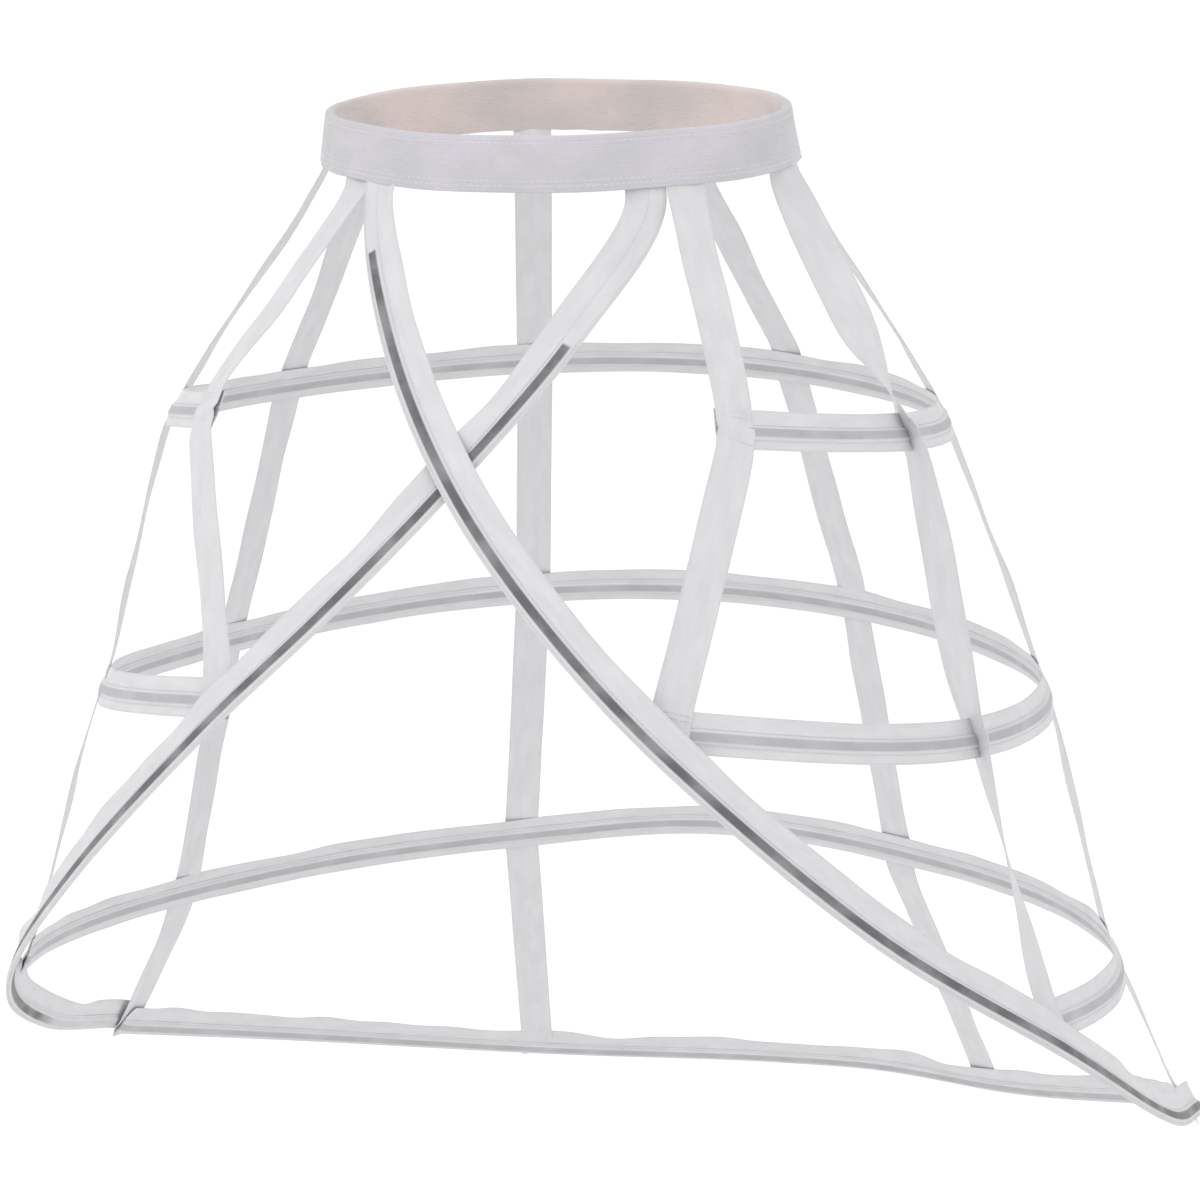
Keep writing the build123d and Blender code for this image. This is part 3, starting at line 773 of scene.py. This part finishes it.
# ---- waistband ----
def waist_ring(angles, across, out):
    """Points of the leaning oval band. At a distance across (down) and out, the oval grows by out plus the flare's
    share of across; pitch turns the whole band so that the back stands higher."""
    band = bpy.context.scene.cage_waistband
    t = np.radians(angles)
    pitch, flare = np.radians(WAIST.lean), np.radians(WAIST.flare)
    grow = out * np.cos(flare) + across * np.sin(flare)
    drop = across * np.cos(flare) - out * np.sin(flare)
    x = (band.half_width + grow) * np.sin(t)
    y = (band.half_depth + grow) / np.cos(pitch) * np.cos(t)
    return np.stack([x, y * np.cos(pitch) + drop * np.sin(pitch), y * np.sin(pitch) - drop * np.cos(pitch)], axis=-1)


def band_outline():
    """The cut of the folded band, as distances across and out, starting inside the pocket and going round the outer
    layer's hem, up its outer face, over the fold and down the inner face. Hem ends and fold are half circles."""
    band = bpy.context.scene.cage_waistband
    half, room, wall = band.height / 2, band.pocket / 2, band.pocket / 2 + band.ply
    turn = np.linspace(0, np.pi, 7)
    middle, radius = room + band.ply / 2, band.ply / 2
    up = np.linspace(half - radius, -half + wall, 12)[1:-1]
    outer_hem = np.stack([half - radius + radius * np.sin(turn), middle - radius * np.cos(turn)], axis=-1)
    fold_turn = np.linspace(0, np.pi, 13)
    fold = np.stack([-half + wall - wall * np.sin(fold_turn) * 0.9, wall * np.cos(fold_turn)], axis=-1)
    inner_hem = outer_hem[::-1] * [1, -1]
    top = -half + 2.0 * MM
    pocket = np.stack([np.linspace(top, half - radius, 5)[1:-1], np.full(3, -room)], axis=-1)[::-1]
    pocket_top = np.stack([np.full(3, top), np.linspace(-room, room, 3)], axis=-1)
    rows = [outer_hem, np.stack([up, np.full(len(up), wall)], axis=-1), fold,
            np.stack([up[::-1], np.full(len(up), -wall)], axis=-1), inner_hem, pocket, pocket_top,
            pocket[::-1] * [1, -1]]
    outline = np.concatenate(rows)
    return np.concatenate([outline, outline[:1]])


def band_shape(angles, outline):
    """Small departures of the band: soft puckers from its gathered elastic, strongest at its hem, and a slow roll."""
    half = bpy.context.scene.cage_waistband.height / 2
    t = np.radians(angles)[:, None]
    across, out = outline[None, :, 0], outline[None, :, 1]
    low = smooth_step((across + half) / (2 * half))
    pucker = (np.sin(31 * t + 1.1 * np.sin(5 * t)) + 0.6 * np.sin(53 * t + 2.0)) * (0.10 + 0.22 * low) * MM
    roll = (0.5 * np.sin(3 * t + 0.4) + 0.35 * np.sin(5 * t + 2.2)) * MM * np.cos(np.pi * across / (2.4 * half))
    wander = (0.35 * np.sin(4 * t + 0.9) + 0.2 * np.sin(9 * t + 1.3)) * MM
    return across + wander, out + pucker + roll * 0.6


class CAGE_OT_waistband(bpy.types.Operator):
    """Build the folded elastic waistband with its topstitching"""
    bl_idname = "cage.waistband"
    bl_label = "Waistband"

    def execute(self, context):
        band = context.scene.cage_waistband
        outline = band_outline()
        angles = np.linspace(0, 360, 481)
        across, out = band_shape(angles, outline)
        points = waist_ring(angles[:, None] + 0 * across, across, out)
        vertices = points.reshape(-1, 3)
        rows, columns = points.shape[:2]
        faces = quads_of(rows, columns)
        girth = np.concatenate([[0.0], np.cumsum(np.linalg.norm(np.diff(points[:, 8], axis=0), axis=1))])
        round_outline = np.concatenate([[0.0], np.cumsum(np.linalg.norm(np.diff(outline, axis=0), axis=1))])
        uv = np.stack(np.broadcast_arrays(outline[None, :, 0], girth[:, None]), axis=-1) / MM
        middle = vertices[faces].mean(axis=1)
        place = round_outline[faces[:, 0] % columns]
        fold_at = round_outline[np.argmin(outline[:, 0])]
        hem_at = fold_at + band.height
        inner = (place > fold_at) & (place < hem_at)
        a, b, c = (vertices[faces[0, k]] for k in range(3))
        if np.cross(b - a, c - a) @ (middle[0] - waist_ring(angles[:1], np.array([band.height / 2 - 0.5 * band.ply]),
                                                          np.array([band.pocket / 2 + band.ply / 2]))[0]) < 0:
            faces = faces[:, ::-1]
        outside, inside = (elastic_cloth(name, colour, [c * w for c, w in zip(colour, warmth)])
                           for name, colour, warmth in (("elastic_outside", band.outside, (1.08, 1.05, 1.12)),
                                                        ("elastic_inside", band.inside, (1.14, 1.08, 1.06))))
        obj = piece("waistband_elastic", vertices, faces, uv, [outside, inside], inner, weld=True)
        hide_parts("waistband")
        rows = []
        for across_at in (band.height / 2 - 3.2 * MM, band.height / 2 - 5.6 * MM, -band.height / 2 + 4.0 * MM):
            line = np.array([[across_at, band.pocket / 2 + band.ply]])
            a, o = band_shape(angles, line)
            points = waist_ring(angles, a[:, 0], o[:, 0])
            beyond = waist_ring(angles, a[:, 0], o[:, 0] + MM)
            rows.append(stitch_row(points, unit(beyond - points)))
        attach(stitching("waistband_stitching", rows, thread()), "root")
        return {"FINISHED"}


# ---- bones ----
TIP_SHARE = 0.3         # length of a bar's rounded end, as a share of its width
BAR_STEP = 4 * MM       # between two cuts of a bar


def finishes(bone):
    """The steel of the bones and the dip on their ends."""
    steel = bpy.data.materials.get("sprung_steel") or steel_material("sprung_steel", bone.steel)
    dip = bpy.data.materials.get("dipped_end") or dipped_material("dipped_end", bone.cap)
    return steel, dip


def strap(path, start, end, width, thickness):
    """A bar between two runs of a path: a flat oval cut whose ends close in a quarter ellipse."""
    tip = np.array([0.0, 0.12, 0.45, 1.0]) * width * TIP_SHARE
    middle = np.linspace(start + tip[-1], end - tip[-1], max(3, int((end - start) / BAR_STEP)))
    run = np.concatenate([start + tip[:-1], middle, (end - tip[:-1])[::-1]])
    from_end = np.minimum(run - start, end - run)
    scale = np.sqrt(np.clip(1 - (1 - np.clip(from_end / tip[-1], 0, 1)) ** 2, 0.0025, 1))
    turn = np.arange(17) / 16 * 2 * np.pi
    across = np.sign(np.cos(turn)) * np.abs(np.cos(turn)) ** 0.45 * width / 2
    out = np.sign(np.sin(turn)) * np.abs(np.sin(turn)) ** 0.6 * thickness / 2
    frames = path.at(run)
    return laid(frames, scale[:, None] * across, scale[:, None] * out)


def bar(name, path, spans, width, thickness, material, node):
    """One piece made of bars along a path, each closed at both ends, in place of a CAD node."""
    vertices, faces, offset = [], [], 0
    for span in spans:
        grid = strap(path, *span, width, thickness)
        rows, columns = grid.shape[:2]
        grid = grid[:, :-1]
        ring = np.arange(columns - 1)
        after = np.roll(ring, -1)
        row = np.arange(rows - 1)[:, None] * (columns - 1)
        sides = np.stack([row + ring, row + after, row + after + columns - 1, row + ring + columns - 1], axis=-1)
        faces += (sides.reshape(-1, 4) + offset).tolist()
        faces += [(ring[::-1] + offset).tolist(), (ring + offset + (rows - 1) * (columns - 1)).tolist()]
        vertices.append(grid.reshape(-1, 3))
        offset += grid.shape[0] * grid.shape[1]
    vertices = np.concatenate(vertices)
    mesh = bpy.data.meshes.new(name)
    mesh.from_pydata(vertices, [], faces)
    reshell(mesh, lambda shell: bmesh.ops.recalc_face_normals(shell, faces=shell.faces))
    mesh.materials.append(material)
    smoothed(mesh)
    mesh.set_sharp_from_angle(angle=SHARP)
    obj = placed(name, mesh)
    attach(obj, "root")
    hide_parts(node)


def add_bone(name, path, start, end):
    """The flat steel bone of a casing between two runs, with its two dipped ends."""
    bone = bpy.context.scene.cage_bone
    steel, dip = finishes(bone)
    bar(f"{name}_steel", path, [(start + CAP_LENGTH - MM, end - CAP_LENGTH + MM)], BONE_WIDTH, BONE_THICKNESS,
        steel, f"{name}_bone")
    bar(f"{name}_dipped_ends", path, [(start, start + CAP_LENGTH), (end - CAP_LENGTH, end)], CAP_WIDTH, CAP_THICKNESS,
        dip, f"{name}_bone_caps")


# ---- hoops, tapes and front edges ----
class CAGE_OT_hoops(bpy.types.Operator):
    """Build the three hoops and the hem, each a ribbon casing with a channel tape"""
    bl_idname = "cage.hoops"
    bl_label = "Hoops and hem"

    def execute(self, context):
        ribbon, bone = context.scene.cage_ribbon, context.scene.cage_bone
        rows = []
        for seed, (name, hoop) in enumerate(HOOPS.items(), start=1):
            low = EDGE_LOW if hoop is HEM else HOOP_LOW
            end = hoop.angle_beyond(hoop.end, CASING_OVERRUN)
            path = hoop_path(hoop, -end, end)
            # The hoop ribbon is darkened along its bone's channel as painted shade.
            cloth = ribbon_cloth(f"{name}_ribbon", ribbon.colour, low / MM, bone.hoop_painted_shade)
            obj = casing(f"{name}_ribbon", path, low, -0.1, seed * 1.7, [cloth])
            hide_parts(f"{name}_casing")
            add_bone(name, path, BONE_SETBACK, path.run[-1] - BONE_SETBACK)
            rows += beside_bone(path, ribbon.ply)
        stitching("hoop_stitching", rows, thread())
        return {"FINISHED"}


class CAGE_OT_tapes(bpy.types.Operator):
    """Build the four pairs of hanging tapes, sewn to each casing that they cross"""
    bl_idname = "cage.tapes"
    bl_label = "Hanging tapes"

    def execute(self, context):
        ribbon = context.scene.cage_ribbon
        half = ribbon.width / 2
        cloth = ribbon_cloth("tape_ribbon", ribbon.colour, half / MM)
        rows = []
        for seed, pair in enumerate(PAIRS):
            for name, side in SIDES.items():
                path = tape_path(pair, side)
                path = path.turned(self.twist(pair, side, path))
                obj = plain_ribbon(f"{pair}_tape_ribbon_{name}", path, -half, half, 0.0, seed * 2.3 + side, [cloth])
                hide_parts(f"{pair}_tape_{name}")
                rows += self.seams(path, half, ribbon.ply)
        stitching("tape_stitching", rows, thread())
        return {"FINISHED"}

    def twist(self, pair, side, path):
        """Degrees of twist along a tape, from a few values at shares of its run."""
        places, degrees = TWISTS.get((pair, side), ((0.0, 1.0), (0.0, 0.0)))
        return through(places, degrees, path.run / path.run[-1])

    def seams(self, path, half, ply):
        """Rows of stitches across a tape at each casing: two near the top of the casing, one near its foot."""
        rows = []
        offsets = np.linspace(-half + 1.2 * MM, half - 1.2 * MM, 12)[:, None]
        for run in path.nodes[2::5]:
            for shift in SEAMS_DOWN:
                if run + shift < path.nodes[-1] - MM:
                    frame_at = path.at(np.array([run + shift]))
                    points = frame_at.centre + frame_at.across * offsets + frame_at.out * (ply / 2 + THREAD * 0.3)
                    rows.append(stitch_row(points, np.repeat(frame_at.out, len(offsets), axis=0), 2.6 * MM))
        return rows


# Degrees of twist at shares of a tape's run: cloth that the band or a casing holds askew.
TWISTS = {
    ("side", 1): ((0.0, 0.05, 0.11, 0.20, 0.27, 1.0), (0, -34, -62, -58, 0, 0)),
}


class CAGE_OT_front_edges(bpy.types.Operator):
    """Build the two boned front edges that cross below the waist"""
    bl_idname = "cage.front_edges"
    bl_label = "Front edges"

    def execute(self, context):
        ribbon, bone = context.scene.cage_ribbon, context.scene.cage_bone
        rows = []
        for seed, (name, side, layer, plain) in enumerate((("over_edge", 1, 1, OVER_EDGE_PLAIN),
                                                           ("under_edge", -1, -1, UNDER_EDGE_PLAIN))):
            path = front_edge_path(side, layer)
            bone_start = path.nodes[1] + plain
            # Each edge's painted channel shade starts at its bone; on the under edge it fades out past the start of
            # the hem.
            at_hem = path.nodes[-3] / MM
            fade = (at_hem - 30, at_hem + 10) if name == "under_edge" else None
            cloth = ribbon_cloth(f"{name}_ribbon", ribbon.colour, EDGE_LOW / MM, bone.edge_painted_shade,
                                 bone_start / MM, fade, twill=True)
            obj = casing(f"{name}_ribbon", path, EDGE_LOW, bone_start, 11 + seed * 3.1, [cloth])
            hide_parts(f"{name}_casing")
            add_bone(name, path, bone_start, path.run[-1] - BONE_SETBACK)
            rows += beside_bone(path, ribbon.ply, path.run > bone_start - 4 * MM)
        stitching("edge_stitching", rows, thread())
        return {"FINISHED"}


# ---- stage ----
AIR_STRENGTH = 1.06
CAMERA_TARGET = (0.0142, 0.0268, -0.2452)
LIT_PLACE = (0, 0, -0.3)        # what both lights look at
FLOOR_FLAT = 6.0                # how far out the floor stays flat
FLOOR_RISE = 9.0                # height that it would reach at FLOOR_FLAT and another 10 m


def area_light(name, place, target, size, watts):
    light = bpy.data.lights.new(name, "AREA")
    light.shape, light.size, light.energy = "DISK", size, watts
    obj = placed(name, light)
    obj.location = place
    obj.rotation_euler = (Vector(target) - Vector(place)).to_track_quat("-Z", "Y").to_euler()


class CAGE_OT_stage(bpy.types.Operator):
    """Set up the pale floor and backdrop, the soft lights and the camera"""
    bl_idname = "cage.stage"
    bl_label = "Stage"

    def execute(self, context):
        stage = context.scene.cage_stage
        self.floor(stage)
        world = bpy.data.worlds.new("studio_air")
        world.use_nodes = True
        air = world.node_tree.nodes["Background"].inputs
        air["Color"].default_value, air["Strength"].default_value = (1.0, 1.0, 1.0, 1.0), AIR_STRENGTH
        context.scene.world = world
        area_light("key_light", (-2.6, -2.6, 2.6), LIT_PLACE, 2.6, 46)
        area_light("fill_light", (3.0, -1.6, 1.2), LIT_PLACE, 3.0, 16)
        context.scene.view_settings.view_transform = "Standard"
        a, e = np.radians(stage.azimuth), np.radians(stage.elevation)
        target = Vector(CAMERA_TARGET)
        back = Vector((np.sin(a) * np.cos(e), -np.cos(a) * np.cos(e), np.sin(e)))
        lens = bpy.data.cameras.new("camera")
        lens.lens, lens.sensor_width, lens.clip_end = stage.lens, 36.0, 200.0
        camera = placed("camera", lens)
        camera.location = target + back * stage.distance
        camera.rotation_euler = (-back).to_track_quat("-Z", "Y").to_euler()
        context.scene.camera = camera
        return {"FINISHED"}

    def floor(self, stage):
        """A round floor, flat near the cage and rising far away in every direction as a bowl: height is a smooth step
        of the distance from the middle."""
        turn = np.linspace(0, 2 * np.pi, 97)
        reach = np.concatenate([np.linspace(0.05, FLOOR_FLAT, 25), np.linspace(FLOOR_FLAT + 0.5, 14, 24)])
        height = -stage.floor_drop + FLOOR_RISE * smooth_step((reach - FLOOR_FLAT) / 10)
        points = np.stack([reach[:, None] * np.cos(turn), reach[:, None] * np.sin(turn),
                           height[:, None] + 0 * turn], axis=-1)
        mesh = bpy.data.meshes.new("floor")
        mesh.from_pydata(points.reshape(-1, 3), [], quads_of(*points.shape[:2]).tolist())
        smoothed(mesh)
        n = Nodes("floor_paper")
        colour = list(stage.floor_colour)
        n.surface(Base_Color=n.mix(n.lumps(0.8, 2.0), colour, [c * 0.985 for c in colour]), Roughness=0.95)
        mesh.materials.append(n.material)
        placed("floor", mesh)


class CAGE_PT_panel(bpy.types.Panel):
    """The sizes, colours and steps of the crinoline cage"""
    bl_idname = "CAGE_PT_panel"
    bl_label = "Crinoline Cage"
    bl_space_type = "VIEW_3D"
    bl_region_type = "UI"
    bl_category = "Cage"

    def draw(self, context):
        for name, group in SETTINGS.items():
            box = self.layout.box()
            for key in group.__annotations__:
                box.prop(getattr(context.scene, name), key)
        for operator in OPERATORS:
            self.layout.operator(operator.bl_idname)


OPERATORS = (CAGE_OT_waistband, CAGE_OT_hoops, CAGE_OT_tapes, CAGE_OT_front_edges, CAGE_OT_stage)
CLASSES = (*SETTINGS.values(), *OPERATORS, CAGE_PT_panel)


def register():
    for cls in CLASSES:
        bpy.utils.register_class(cls)
    for name, group in SETTINGS.items():
        setattr(bpy.types.Scene, name, bpy.props.PointerProperty(type=group))


def unregister():
    for name in SETTINGS:
        delattr(bpy.types.Scene, name)
    for cls in reversed(CLASSES):
        bpy.utils.unregister_class(cls)


def main():
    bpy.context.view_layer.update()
    register()
    for operator in OPERATORS:
        group, name = operator.bl_idname.split(".")
        getattr(getattr(bpy.ops, group), name)()


if __name__ == "__main__":
    main()
